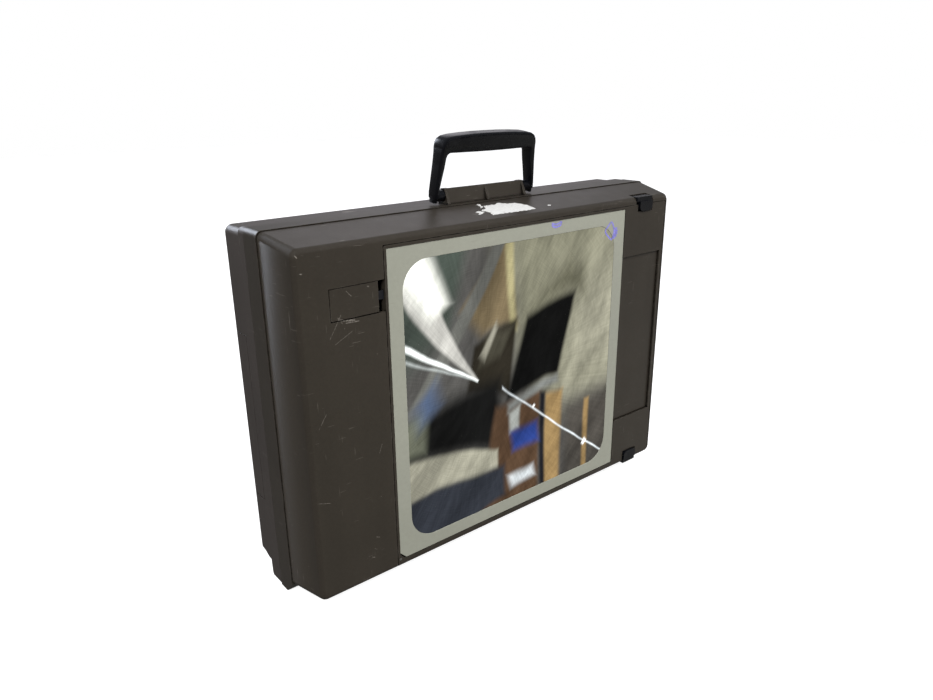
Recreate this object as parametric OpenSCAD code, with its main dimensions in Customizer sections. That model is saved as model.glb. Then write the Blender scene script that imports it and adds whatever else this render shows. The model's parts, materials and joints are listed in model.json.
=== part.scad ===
// Portable overhead projector, folded shut as a carrying case and standing on its long side.
// X runs along the case, Y from the stage face towards the back, Z up from the feet.
// Inside the modules Y = 0 is the stage face; part() moves the whole case so that the
// origin is at the middle of the feet.

/* [Case] */
// Width of the stage face
face_w = 480; // [476:1:484]
// Height of the top edge of the stage face above the feet
face_top = 347; // [346:0.5:348]
// Height of the bottom edge of the stage face above the feet
face_bottom = 16; // [15:0.5:17]
// Depth of the case from stage face to back
case_depth = 114; // [113.5:0.25:114.5]
// Outward slope of each side of the front shell over its depth
side_draft = 7.5; // [6:0.5:8]
// Rise of the top of the front shell over its depth
top_draft = 9.5; // [8:0.5:10]
// Wall of the moulded shells
wall = 3; // [2.5:0.25:3]
// Height of the rubber feet on the back
back_foot_h = 5.2; // [5.2:0.2:7]

/* [Stage] */
// Width of the grey stage border
stage_w = 316; // [314:1:316]
// Height of the grey stage border
stage_h = 312.5; // [310:0.5:313]
// Side of the square mirror window
window_side = 285; // [270:1:286]
// Corner radius of the mirror window
window_r = 28; // [20:1:34]

/* [Handle] */
// Place of the middle of the handle along the case
handle_x = 8; // [0:1:12]
// Half width of the handle at its shoulders
handle_half = 61.5; // [60:0.5:64]
// Height of the top of the handle above the feet
handle_top = 425.5; // [422:0.5:428]
// Width of the handle from front to back
handle_t = 17; // [14:0.5:18]
// Angle by which the handle leans forward
handle_lean = 7.5; // [0:0.5:15]

/* [Optics] */
// Length of the arm between its two pivots when pushed in
arm_len = 189; // [186:1:189]
// Radius of the projection lens barrel
barrel_r = 26; // [24:0.5:26]
// Radius of the rubber focus roller
roller_r = 4.9; // [4.5:0.1:4.9]

/* [Hidden] */
$fn = 48;

clip_proud = 2;
centre_y = (case_depth + back_foot_h - clip_proud) / 2;
gap = 0.5;

// depth of each ring of the case
shell_y1 = 45.5;
band_y0 = 46;
band_y1 = 70.5;
cover_y0 = 71.6;
step_y = 82;
half_w = face_w / 2;
band_half = half_w + side_draft + 1;
band_top = face_top + top_draft + 1;
band_bottom = 13;
foot_z = 1.2;
foot_x0 = 160;

// opening of the front shell that the stage door fills
open_x0 = -155.6;
open_x1 = 235.4;
open_z1 = 340.2;
door_x0 = open_x0 + 0.7;
door_x1 = open_x1 - 0.7;
door_z0 = face_bottom + 0.6;
door_z1 = open_z1 - 0.6;
door_t = 6.5;
hinge_x = 198;
hinge_y = 3;
hinge_pin_r = 1.6;
clip_half = 11;
// right of the hinges the door swings inwards, over a lip of the shell
dip_x = hinge_x - clip_half - 1.5;
lip_z = face_bottom + wall;
stage_x0 = -152;
stage_z0 = 24;
stage_mid_x = stage_x0 + 15.4 + window_side / 2;
stage_mid_z = stage_z0 + 13.7 + window_side / 2;

// latch button
latch_x = -185.8;
latch_z = 296.2;

// cord compartment in the back
cord_x1 = -142;
cord_z0 = 88;
cord_z1 = 256;
cord_y0 = 91.5;
cord_hinge_y = case_depth + 2.4;
cord_knuckle_r = 2.2;

// case screws, as [x, z]
screw_places = [[-236, 38], [-236, 334], [236, 38], [236, 334], [0, 36], [-20, 342]];
chassis_screw_places = [[-90, 50], [-90, 320], [215, 50], [215, 320]];
chassis_half = 224;

// folded head and arm
arm_x = 150;
arm_y = 70;
arm_z = 180;
head_x = arm_x - arm_len;
lens_x = head_x - 55;
lens_z = 165;
lamp_z = 222;
house_x0 = lens_x - 40;
house_x1 = lens_x + 42;
house_y0 = 40;
house_y1 = 98;
house_z0 = 104;
house_z1 = 252;
barrel_y0 = 34;
barrel_y1 = 84;
knob_y = 60;
rack_z = lens_z - barrel_r - 2;
knob_z = rack_z - roller_r - 0.03;
flap_y = 21;
flap_hinge_x = house_x0 - 1.5;

brown = "#47413c";
brown_dark = "#39342f";
ink = "#17181c";
steel = "#b4b6b8";

// ---- helpers: everything below is drawn with Y = 0 at the stage face ----
module part(c) { color(c) translate([0, -centre_y, 0]) children(); }

module block(x0, x1, y0, y1, z0, z1) {
    translate([x0, y0, z0]) cube([x1 - x0, y1 - y0, z1 - z0]);
}

// outline drawn in X and Z, given a depth along Y
module slab(y0, y1) {
    translate([0, y1, 0]) rotate([90, 0, 0]) linear_extrude(y1 - y0) children();
}

// outline drawn in Y and Z, given a length along X
module bar(x0, x1) {
    translate([x0, 0, 0]) rotate([90, 0, 90]) linear_extrude(x1 - x0) children();
}

module rod_x(y, z, x0, x1, r) { translate([x0, y, z]) rotate([0, 90, 0]) cylinder(h = x1 - x0, r = r); }
module rod_y(x, z, y0, y1, r) { translate([x, y1, z]) rotate([90, 0, 0]) cylinder(h = y1 - y0, r = r); }
module rod_z(x, y, z0, z1, r) { translate([x, y, z0]) cylinder(h = z1 - z0, r = r); }

module round_rect(x0, x1, z0, z1, r) {
    translate([x0 + r, z0]) square([x1 - x0 - 2 * r, z1 - z0]);
    translate([x0, z0 + r]) square([x1 - x0, z1 - z0 - 2 * r]);
    for (x = [x0 + r, x1 - r], z = [z0 + r, z1 - r]) translate([x, z]) circle(r);
}

// thin slice of the front shell at depth y, drawn in by inset
module shell_slice(y, inset, r) {
    f = y / shell_y1;
    half = half_w + side_draft * f - inset;
    slab(y, y + 0.01)
        round_rect(-half, half, face_bottom - 3 * f + inset, face_top + top_draft * f - inset, r);
}

// outline of the rear cover, drawn in by inset, with its top lower by drop
module cover_outline(inset, r, drop) {
    round_rect(-band_half + inset, band_half - inset, band_bottom + inset, band_top - inset - drop, r);
}

// foot block under each end, as its outline in Y and Z between two depths
module foot_outline(y0, y1) {
    intersection() {
        polygon([[band_y0, 14], [49, 9.6], [52, 6], [55, 3.2], [58, foot_z], [90, foot_z],
                 [91.5, 4], [92.2, 20], [band_y0, 20]]);
        translate([y0, 0]) square([y1 - y0, 30]);
    }
}

// ---- case ----
module front_shell() part(brown) {
    edge = 4.5;
    difference() {
        hull() {
            for (a = [0:15:90]) shell_slice(edge * (1 - cos(a)), edge * (1 - sin(a)), 5 + edge * sin(a) / 2);
            shell_slice(shell_y1 - 0.01, 0, 6);
        }
        hull() {
            shell_slice(wall, wall, 5);
            shell_slice(shell_y1 + 1, wall, 4);
        }
        block(open_x0, dip_x, -1, 7, 0, open_z1);
        block(dip_x - 1, open_x1, -1, 7, lip_z, open_z1);
        block(latch_x - 24.5, open_x0 + 1, -1, wall + 2, latch_z - 14.5, latch_z + 14.5);
        for (z = [open_z1 - 0.5, 5]) block(hinge_x - 16, hinge_x + 14, -1, 12, z, z + 14);
    }
}

module mid_frame() part(brown) {
    difference() {
        union() {
            slab(band_y0, band_y1) round_rect(-band_half, band_half, band_bottom, band_top, 6);
            for (s = [-1, 1])
                bar(min(s * foot_x0, s * band_half), max(s * foot_x0, s * band_half))
                    foot_outline(band_y0, band_y1);
        }
        slab(band_y0 - 1, band_y1 + 1)
            round_rect(-band_half + wall, band_half - wall, band_bottom + 7, band_top - wall, 4);
    }
    for (p = screw_places) difference() {
        union() {
            rod_y(p[0], p[1], 58, band_y1, 4.2);
            boss_web(p, 58, band_y1);
        }
        rod_y(p[0], p[1], 57, band_y1 + 1, 1.95);
    }
}

// web that ties a screw boss to the nearest wall
module boss_web(p, y0, y1) {
    if (abs(p[0]) > 100)
        block(min(p[0], sign(p[0]) * (band_half - 1)), max(p[0], sign(p[0]) * (band_half - 1)),
              y0, y1, p[1] - 1.5, p[1] + 1.5);
    else if (p[1] > 200) block(p[0] - 1.5, p[0] + 1.5, y0, y1, p[1], band_top - 1);
    else block(p[0] - 1.5, p[0] + 1.5, y0, y1, band_bottom + 1, p[1]);
}

module cover_outer() {
    edge = 3;
    slab(cover_y0, step_y) cover_outline(0.4, 6.5, 0);
    hull() for (a = [0:30:90])
        slab(step_y - 3, case_depth - edge * (1 - sin(a))) cover_outline(0.8 + edge * (1 - cos(a)), 7, 2);
}

// hollow cut along the bottom edge of the back
module cover_undercut() {
    bar(-300, 300)
        polygon([[92, -5], [92, 4], [92.6, 11], [95, 16.5], [99, 20.6], [105, 23], [114, 24.5], [125, 24.5],
                 [125, -5]]);
}

module cord_door_zone(g) {
    block(-260, cord_x1 + g, cord_y0 - g, case_depth + 1, cord_z0 - g, cord_z1 + g);
}

module rear_cover() part(brown) {
    difference() {
        union() {
            difference() {
                union() {
                    cover_outer();
                    for (s = [-1, 1])
                        bar(min(s * foot_x0, s * (band_half - 1)), max(s * foot_x0, s * (band_half - 1)))
                            foot_outline(cover_y0, 93);
                }
                cover_undercut();
                difference() {
                    slab(cover_y0 - 1, case_depth - wall)
                        round_rect(-band_half + 5.5, band_half - 5.5, band_bottom + 16, band_top - 9, 10);
                    cover_undercut();
                }
            }
            intersection() {
                cover_outer();
                for (p = screw_places) {
                    rod_y(p[0], p[1], cover_y0, case_depth - 1, 5.2);
                    boss_web(p, cover_y0, case_depth - 4);
                }
            }
            for (p = chassis_screw_places) rod_y(p[0], p[1], 108.6, case_depth - 1, 4);
            for (z = [[104, 119.6], [150.4, 193.6], [224.4, 240]]) cord_knuckle(z[0], z[1], 1);
        }
        cord_door_zone(gap);
        for (p = screw_places) {
            rod_y(p[0], p[1], cover_y0 - 1, case_depth + 1, 2.1);
            rod_y(p[0], p[1], 94, case_depth + 1, 3.8);
        }
        for (p = chassis_screw_places) rod_y(p[0], p[1], 104, case_depth - 1.5, 1.5);
        rod_z(cord_x1, cord_hinge_y, 100, 245, 1.05);
        block(242, 250, 92.3, 109.7, 95.3, 124.7);
        rod_x(101, 150, 240, 250, 6.2);
        rod_x(101, 150, 246.2, 250, 7.5);
    }
}

// one knuckle of the barrel hinge, with its web towards side s
module cord_knuckle(z0, z1, s) {
    rod_z(cord_x1, cord_hinge_y, z0, z1, cord_knuckle_r);
    block(min(cord_x1 + s * 0.9, cord_x1 + s * 5), max(cord_x1 + s * 0.9, cord_x1 + s * 5),
          case_depth - 1.5, cord_hinge_y + 1, z0, z1);
}

module cord_door() part(brown) {
    difference() {
        union() {
            intersection() {
                cover_outer();
                cord_door_zone(0);
            }
            for (z = [[120, 150], [194, 224]]) cord_knuckle(z[0], z[1], -1);
        }
        block(-band_half + 5.5, cord_x1 + 1, cord_y0 - 1.5, case_depth - wall, 0, 300);
        rod_z(cord_x1, cord_hinge_y, 100, 245, 1.05);
    }
}

module cord_door_pin() part(steel) {
    rod_z(cord_x1, cord_hinge_y, 104.5, 239.5, 1);
}

module cord_well() part(brown_dark) {
    x0 = -band_half + 6;
    difference() {
        union() {
            block(x0, cord_x1 - 2, 76.5, 78.5, cord_z0 - 3, cord_z1 + 3);
            block(cord_x1 - 4, cord_x1 - 2, 76.5, 110.5, cord_z0 - 3, cord_z1 + 3);
            for (z = [cord_z0 - 3, cord_z1 + 1]) block(x0, cord_x1 - 2, 76.5, 110.5, z, z + 2);
        }
        block(-190.3, -159.7, 76, 79, 107.7, 132.3);
    }
}

module foot_pads() part("#1b1b1b") {
    for (s = [-1, 1], y = [58, 75])
        block(min(s * 170, s * 236), max(s * 170, s * 236), y, y + 12.5, 0, foot_z);
}

module back_feet() part("#1b1b1b") {
    for (x = [-205, 205], z = [60, 318]) translate([x, case_depth, z]) rotate([-90, 0, 0])
        rotate_extrude() polygon([[0, 0], [9, 0], [9, back_foot_h - 1.2], [7.8, back_foot_h], [0, back_foot_h]]);
}

module case_screws() part(steel) {
    for (p = screw_places) difference() {
        union() {
            rod_y(p[0], p[1], 60, 94, 1.9);
            rod_y(p[0], p[1], 94, 96.4, 3.5);
        }
        block(p[0] - 0.4, p[0] + 0.4, 95.4, 97, p[1] - 2.4, p[1] + 2.4);
        block(p[0] - 2.4, p[0] + 2.4, 95.4, 97, p[1] - 0.4, p[1] + 0.4);
    }
}

// ---- handle ----
pivot_z = 366;
bracket_half = 52.5;
hub_y = 60.4;
foot_half = handle_half + 4.2;

module handle_bracket() part(brown) {
    difference() {
        union() {
            bar(handle_x - bracket_half, handle_x + bracket_half)
                polygon([[54.6, band_top], [57.3, 372.6], [59.6, 372.6], [60.6, band_top]]);
            for (x = [-bracket_half, -1.4, bracket_half - 2.8])
                bar(handle_x + x, handle_x + x + 2.8)
                    polygon([[50.6, band_top], [57.2, 371.6], [58, 371.6], [58, band_top]]);
            for (x = [-bracket_half, bracket_half - 6])
                bar(handle_x + x, handle_x + x + 6)
                    polygon([[55, band_top], [57.3, 372.6], [63, 372.6], [67, 368], [67, band_top]]);
        }
        rod_x(hub_y, pivot_z, handle_x - 60, handle_x + 60, 3.05);
    }
}

module handle_pins() part(ink) {
    for (s = [-1, 1]) rod_x(hub_y, pivot_z, min(handle_x + s * 47, handle_x + s * 64),
                            max(handle_x + s * 47, handle_x + s * 64), 3);
}

// outline of the handle: outer arch less the finger opening
module handle_outline() {
    n = 24;
    difference() {
        polygon(concat(
            [[-foot_half, pivot_z - 6.4], [-foot_half, pivot_z + 4]],
            [for (i = [0:n]) let(t = -1 + 2 * i / n)
                [handle_half * t, handle_top - 3 * t * t - 7 * pow(abs(t), 10)]],
            [[foot_half, pivot_z + 4], [foot_half, pivot_z - 6.4]]));
        polygon([[-foot_half + 3.6, pivot_z - 7], [-foot_half + 3.6, pivot_z + 4],
                 [-handle_half + 6.4, handle_top - 21.5], [-handle_half + 7.6, handle_top - 18.8],
                 [-handle_half + 10, handle_top - 17.4], [0, handle_top - 18],
                 [handle_half - 10, handle_top - 17.4], [handle_half - 7.6, handle_top - 18.8],
                 [handle_half - 6.4, handle_top - 21.5], [foot_half - 3.6, pivot_z + 4],
                 [foot_half - 3.6, pivot_z - 7]]);
    }
}

module carry_handle() part(ink) {
    translate([handle_x, hub_y, pivot_z]) rotate([handle_lean, 0, 0]) translate([0, -hub_y, -pivot_z])
        difference() {
            union() {
                slab(hub_y - handle_t / 2, hub_y + handle_t / 2) handle_outline();
                for (s = [-1, 1]) rod_x(hub_y, pivot_z, min(s * (bracket_half + 0.7), s * (foot_half - 2)),
                                        max(s * (bracket_half + 0.7), s * (foot_half - 2)), 5.8);
            }
            // the legs are thinner than the grip, and their feet thinner still
            for (y = [hub_y - 20, hub_y + 7]) block(-80, 80, y, y + 13, pivot_z - 10, handle_top - 24);
            for (y = [hub_y - 18.2, hub_y + 5.2]) block(-80, 80, y, y + 13, pivot_z - 10, pivot_z - 2);
            rod_x(hub_y, pivot_z, -foot_half + 1.4, foot_half - 1.4, 3.06);
        }
}

// ---- stage door ----
module stage_door() part(brown) {
    stage_x1 = stage_x0 + stage_w;
    difference() {
        union() {
            slab(0, door_t) round_rect(door_x0, door_x1, door_z0, door_z1, 1.5);
            block(door_x0 + 1.5, door_x0 + 4, door_t, 10, door_z0 + 8, door_z1 - 8);
            for (z = [door_z0 + 5, door_z1 - 7]) block(door_x0 + 1.5, 178, door_t, 10, z, z + 2.5);
            block(175.5, 178, door_t, 10, door_z0 + 5, door_z1 - 5);
        }
        // seat of the stage, with its one cut corner
        slab(-1, 4) difference() {
            translate([stage_x0 - 0.3, stage_z0 - 0.3]) square([stage_w + 0.6, stage_h + 0.6]);
            translate([stage_x0 - 1, stage_z0 - 1]) rotate(45) square(10, center = true);
        }
        // shallow hand recess beside the stage
        block(stage_x1 + 0.3, 230.4, -1, 2.5, 79.4, 282.2);
        block(dip_x, door_x1 + 1, -1, door_t + 1, door_z0 - 1, lip_z + gap);
        // room for the hinge clips and their pins
        for (z = [[door_z0 - 1, 31.2], [331.6, door_z1 + 1]])
            block(hinge_x - clip_half - 1.5, hinge_x + clip_half + 1.5, -1, door_t + 1, z[0], z[1]);
        rod_z(hinge_x, hinge_y, 316, 333, hinge_pin_r + 0.05);
        rod_z(hinge_x, hinge_y, 30, 47, hinge_pin_r + 0.05);
        // rounded bottom edge
        difference() {
            block(-160, 240, -1, 3, door_z0 - 1, door_z0 + 3);
            rod_x(3, door_z0 + 3, -161, 241, 3);
        }
        block(door_x0 - 1, door_x0 + 3, 3.3, 5.2, 291.8, 300.2);
    }
}

module stage_border() part("#a5a89b") {
    slab(0.5, 2.9) difference() {
        translate([stage_x0, stage_z0]) square([stage_w, stage_h]);
        round_rect(stage_mid_x - window_side / 2, stage_mid_x + window_side / 2,
                   stage_mid_z - window_side / 2, stage_mid_z + window_side / 2, window_r);
        translate([stage_x0, stage_z0]) rotate(45) square(10, center = true);
    }
}

module fresnel_mirror() part("#cdd3d6") {
    s = window_side / 2 - 0.1;
    slab(0.9, 2.9)
        round_rect(stage_mid_x - s, stage_mid_x + s, stage_mid_z - s, stage_mid_z + s, window_r - 0.1);
}

module mirror_backing() part("#222222") {
    slab(2.95, 3.95) difference() {
        translate([stage_x0, stage_z0]) square([stage_w, stage_h]);
        translate([stage_x0, stage_z0]) rotate(45) square(11, center = true);
    }
}

module border_screw() part(steel) {
    difference() {
        rod_y(stage_x0 - 0.2, stage_z0 + 0.6, -0.15, 0, 1.5);
        block(stage_x0 - 1.4, stage_x0 + 1, -1, -0.08, stage_z0 + 0.4, stage_z0 + 0.8);
    }
}

module door_keeper() part(steel) {
    block(-160.4, door_x0 + 2.8, 3.4, 5.1, 292, 300);
}

// fixed hinge clip hooked over the edge; s is 1 at the top and -1 at the bottom
module hinge_clip(edge_z, s) {
    translate([hinge_x, 0, edge_z]) mirror([0, 0, s > 0 ? 0 : 1]) difference() {
        union() {
            slab(-clip_proud, door_t - 0.6) intersection() {
                round_rect(-clip_half, clip_half, -9.6, 12, 5);
                translate([-20, -20]) square([40, 21.5]);
            }
            block(-clip_half - (s > 0 ? 4 : 0), clip_half, -0.6, s > 0 ? 11.5 : 8.5, 1, 6.5);
        }
        rod_z(0, hinge_y, -12, 5, hinge_pin_r);
    }
}

module hinge_clips() part(ink) {
    hinge_clip(open_z1 + 1.5, 1);
    hinge_clip(door_z0 + 4.4, -1);
}

module hinge_pins() part(steel) {
    rod_z(hinge_x, hinge_y, 317, open_z1 + 6, hinge_pin_r);
    rod_z(hinge_x, hinge_y, door_z0, 46, hinge_pin_r);
}

// ---- latch ----
module latch_button() part(brown) {
    slab(0.3, 3.3) round_rect(latch_x - 24, latch_x + 24, latch_z - 14, latch_z + 14, 1);
    rod_y(latch_x, latch_z, 3.2, 24, 4);
}

module latch_guide() part(steel) {
    difference() {
        block(latch_x - 14, latch_x + 14, wall + 0.05, 16, latch_z - 18, latch_z + 18);
        block(latch_x - 15, latch_x + 15, wall - 1, 14, latch_z - 16, latch_z + 16);
        rod_y(latch_x, latch_z, 10, 20, 4.1);
    }
}

// helical spring round the button's stem
module latch_spring() part(steel) {
    turns = 5;
    steps = 14;
    sides = 6;
    wire = 0.5;
    coil_r = 5.4;
    y0 = 4;
    rise = 9.2;
    n = turns * steps;
    pts = [for (i = [0:n], k = [0:sides - 1])
        let(a = 360 * i / steps, b = 360 * k / sides, r = coil_r + wire * cos(b))
        [latch_x + r * cos(a), y0 + rise * i / n + wire * sin(b), latch_z + r * sin(a)]];
    sides_f = [for (i = [0:n - 1], k = [0:sides - 1])
        let(j = (k + 1) % sides)
        [i * sides + k, i * sides + j, (i + 1) * sides + j, (i + 1) * sides + k]];
    polyhedron(pts, concat([[for (k = [sides - 1:-1:0]) k]], sides_f,
                           [[for (k = [0:sides - 1]) n * sides + k]]), convexity = 6);
}

// ---- base electrics ----
module chassis_plate() part(steel) {
    difference() {
        slab(107, 108.5) difference() {
            round_rect(-chassis_half, chassis_half, 42, 338, 4);
            translate([-250, cord_z0 - 4]) square([250 + cord_x1 + 1, cord_z1 - cord_z0 + 8]);
            for (p = screw_places) translate([p[0], p[1]]) circle(6.4);
        }
        for (p = chassis_screw_places) rod_y(p[0], p[1], 106, 110, 1.7);
    }
}

module chassis_screws() part(steel) {
    for (p = chassis_screw_places) {
        rod_y(p[0], p[1], 104.8, 107, 3.2);
        rod_y(p[0], p[1], 106.9, 111.5, 1.45);
    }
}

core_x = -199;
core_z = 58;
module transformer_core() part("#5b5c60") {
    slab(68, 100) difference() {
        translate([core_x - 30, core_z - 25]) square([60, 50]);
        for (x = [-20, 10]) translate([core_x + x, core_z - 15]) square([10, 30]);
    }
}

module transformer_coil() part("#a5652e") {
    difference() {
        slab(60, 106.5) round_rect(core_x - 19.6, core_x + 19.6, core_z - 14, core_z + 14, 3);
        block(core_x - 10.15, core_x + 10.15, 67.85, 100.15, core_z - 20, core_z + 20);
    }
}

module transformer_straps() part(steel) {
    for (s = [-1, 1]) {
        block(core_x + (s < 0 ? -32.2 : 30.2), core_x + (s < 0 ? -30.2 : 32.2), 72, 106.9, core_z - 16, core_z + 16);
        block(core_x + (s < 0 ? -33.8 : 21), core_x + (s < 0 ? -21 : 33.8), 105.3, 106.9, core_z - 16, core_z + 16);
    }
}

module terminal_block() part("#e8e4d8") {
    difference() {
        block(-205, -145, 95, 106.9, 276, 292);
        for (i = [0:5]) rod_y(-200 + 10 * i, 284, 94, 101, 2.6);
    }
}

module power_inlet() part(ink) {
    difference() {
        block(-190, -160, 58, 79.3, 108, 132);
        slab(64, 80) round_rect(-187, -163, 111, 129, 2.5);
    }
}

module inlet_blades() part("#c9a14a") {
    for (b = [[-182, 120], [-175, 123], [-168, 120]])
        block(b[0] - 1, b[0] + 1, 64, 76, b[1] - 2.5, b[1] + 2.5);
}

switch_y = 101;
switch_z = 110;
module switch_body() part(ink) {
    difference() {
        block(226, 246.9, 92.6, 109.4, 95.6, 124.4);
        block(236, 249, 94.6, 107.4, 97.6, 122.4);
        rod_y(241, switch_z, 93.4, 108.6, 1.6);
    }
}

module power_switch() part("#20120f") {
    slab(95, 107) polygon([[239, 104], [246.6, 99.6], [247.4, 100.4], [245.4, 110], [248.4, 119.6],
                           [247.6, 120.4], [239, 116]]);
    rod_y(241, switch_z, 93.6, 108.4, 1.5);
}

module fuse_holder() part(ink) {
    difference() {
        union() {
            rod_x(101, 150, 214, 246, 6);
            rod_x(101, 150, 246.3, 248.2, 7.2);
            rod_x(101, 150, 245, 247, 5.6);
        }
        block(247.4, 249, 100.4, 101.6, 146, 154);
    }
}

// ---- arm ----
module arm_base() part(steel) {
    difference() {
        union() {
            block(arm_x - 20, arm_x + 28, 103.6, 106.9, arm_z - 34, arm_z + 34);
            for (s = [-1, 1]) hull() {
                rod_z(arm_x, arm_y, arm_z + (s < 0 ? -24.5 : 17.5), arm_z + (s < 0 ? -17.5 : 24.5), 11);
                block(arm_x - 16, arm_x + 18, 102, 104, arm_z + (s < 0 ? -24.5 : 17.5), arm_z + (s < 0 ? -17.5 : 24.5));
            }
        }
        rod_z(arm_x, arm_y, arm_z - 30, arm_z + 30, 4.05);
    }
}

module arm_pin() part("#8d8f92") {
    rod_z(arm_x, arm_y, arm_z - 26, arm_z + 26, 4);
    for (z = [arm_z - 27.5, arm_z + 25]) rod_z(arm_x, arm_y, z, z + 2.5, 6);
}

module arm_tube() part(ink) {
    difference() {
        union() {
            block(0, arm_x, arm_y - 12, arm_y + 12, arm_z - 17, arm_z + 17);
            rod_z(arm_x, arm_y, arm_z - 17, arm_z + 17, 12);
        }
        block(-1, arm_x - 14, arm_y - 10.1, arm_y + 10.1, arm_z - 15.1, arm_z + 15.1);
        rod_z(arm_x, arm_y, arm_z - 20, arm_z + 20, 4.05);
    }
}

module arm_slide() part("#a8abae") {
    difference() {
        union() {
            block(head_x, arm_x - 22, arm_y - 10, arm_y + 10, arm_z - 15, arm_z + 15);
            rod_z(head_x, arm_y, arm_z - 15, arm_z + 15, 10);
        }
        block(head_x + 20, arm_x - 30, arm_y - 8, arm_y + 8, arm_z - 12.5, arm_z + 12.5);
        rod_z(head_x, arm_y, arm_z - 20, arm_z + 20, 4.05);
    }
}

module head_pin() part("#8d8f92") {
    rod_z(head_x, arm_y, arm_z - 25, arm_z + 25, 4);
}

// ---- head ----
module head_housing() part(brown_dark) {
    difference() {
        union() {
            slab(house_y0, house_y1) round_rect(house_x0, house_x1, house_z0, house_z1, 8);
            for (s = [-1, 1]) {
                z0 = arm_z + (s < 0 ? -22.5 : 15.5);
                block(house_x1 - 2, head_x, arm_y - 9, arm_y + 9, z0, z0 + 7);
                rod_z(head_x, arm_y, z0, z0 + 7, 9);
            }
        }
        slab(house_y0 - 1, house_y1 - 2.5)
            round_rect(house_x0 + 2.5, house_x1 - 2.5, house_z0 + 2.5, house_z1 - 2.5, 6);
        rod_y(lens_x, lens_z, house_y1 - 5, house_y1 + 1, barrel_r + 0.4);
        rod_y(lens_x, lamp_z, house_y1 - 5, house_y1 + 1, 21);
        rod_z(head_x, arm_y, arm_z - 30, arm_z + 30, 4.05);
        // vents over the fan and over the lamp
        for (i = [-3:3]) block(lens_x + 8 * i - 1.6, lens_x + 8 * i + 1.6, 50, 88, house_z0 - 1, house_z0 + 4);
        for (i = [-3:3]) block(lens_x + 8 * i - 1.6, lens_x + 8 * i + 1.6, 50, 88, house_z1 - 4, house_z1 + 1);
        rod_x(knob_y, knob_z, house_x1 - 5, house_x1 + 1, 3.1);
    }
}

module head_cover() part(brown_dark) {
    ears = [[lens_z - 48, lens_z - 44], [lens_z + 44, lens_z + 48]];
    difference() {
        union() {
            slab(31.5, house_y0) round_rect(house_x0, house_x1, house_z0, house_z1, 8);
            for (e = ears) {
                rod_z(flap_hinge_x, flap_y, e[0], e[1], 2.8);
                block(flap_hinge_x - 2.8, house_x0 + 6, flap_y, 33, e[0], e[1]);
            }
        }
        slab(34, house_y0 + 1)
            round_rect(house_x0 + 2.5, house_x1 - 2.5, house_z0 + 2.5, house_z1 - 2.5, 6);
        rod_y(lens_x, lens_z, 30, house_y0, barrel_r + 0.4);
        rod_z(flap_hinge_x, flap_y, lens_z - 60, lens_z + 60, 1.5);
        for (i = [-2:2]) block(lens_x + 10 * i - 2, lens_x + 10 * i + 2, 30, 36, lamp_z + 4, lamp_z + 24);
    }
}

module head_screws() part(steel) {
    for (x = [house_x0 + 7, house_x1 - 7], z = [house_z0 + 7, house_z1 - 7])
        rod_y(x, z, 29.9, 31.5, 2.6);
}

module lens_barrel() part(ink) {
    difference() {
        union() {
            rod_y(lens_x, lens_z, barrel_y0, barrel_y1, barrel_r);
            block(lens_x - 6, lens_x + 6, 46, barrel_y1, rack_z, lens_z - barrel_r + 2);
        }
        rod_y(lens_x, lens_z, barrel_y0 - 1, barrel_y1 + 1, 20.5);
        rod_y(lens_x, lens_z, barrel_y0 - 1, 44, 23.1);
        rod_y(lens_x, lens_z, 72, barrel_y1 + 1, 23.1);
    }
}

// bi-convex element between y0 and y1, edge radius r and bulge b
module element(x, z, y0, y1, r, b0, b1) {
    translate([x, y0, z]) rotate([-90, 0, 0]) rotate_extrude()
        polygon(concat([for (i = [0:8]) [r * i / 8, -b0 * (1 - i * i / 64)]],
                       [for (i = [8:-1:0]) [r * i / 8, y1 - y0 + b1 * (1 - i * i / 64)]]));
}

module lens_elements() part([0.75, 0.85, 0.88, 0.5]) {
    element(lens_x, lens_z, 39, 43.9, 23, 4, 0);
    element(lens_x, lens_z, 72.1, 76, 23, 0, 4);
}

module focus_knob() part(ink) {
    rod_x(knob_y, knob_z, lens_x - 5, lens_x + 5, roller_r);
    rod_x(knob_y, knob_z, lens_x + 4, house_x1 + 3, 3);
    difference() {
        rod_x(knob_y, knob_z, house_x1 + 1, house_x1 + 12, 9.5);
        for (a = [0:20:340]) translate([0, knob_y, knob_z]) rotate([a, 0, 0])
            block(house_x1 + 2.5, house_x1 + 13, -0.6, 0.6, 8.8, 11);
    }
}

// folding projection mirror, closed flat over the lens
module mirror_frame() part(brown_dark) {
    x1 = house_x1 - 4;
    difference() {
        union() {
            block(flap_hinge_x + 3.4, x1, 14.4, 20, lens_z - 42, lens_z + 42);
            rod_z(flap_hinge_x, flap_y, lens_z - 43.6, lens_z + 43.6, 2.8);
            block(flap_hinge_x, flap_hinge_x + 6, 18.2, 20, lens_z - 42, lens_z + 42);
        }
        block(flap_hinge_x + 8, x1 - 3, 17.5, 22, lens_z - 39, lens_z + 39);
        rod_z(flap_hinge_x, flap_y, lens_z - 60, lens_z + 60, 1.56);
    }
}

module mirror_pin() part(steel) {
    rod_z(flap_hinge_x, flap_y, lens_z - 48, lens_z + 48, 1.5);
}

module projection_mirror() part("#dfe5e8") {
    block(flap_hinge_x + 8.2, house_x1 - 7.2, 17.5, 19.6, lens_z - 38.8, lens_z + 38.8);
}

module lamp() part([0.9, 0.9, 0.85, 0.6]) {
    rod_z(lens_x, 64, lamp_z - 9, lamp_z + 12, 5.5);
    translate([lens_x, 64, lamp_z - 9]) sphere(r = 5.5);
    for (x = [-2.2, 2.2]) rod_z(lens_x + x, 64, lamp_z + 11.5, lamp_z + 17, 0.6);
}

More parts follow.
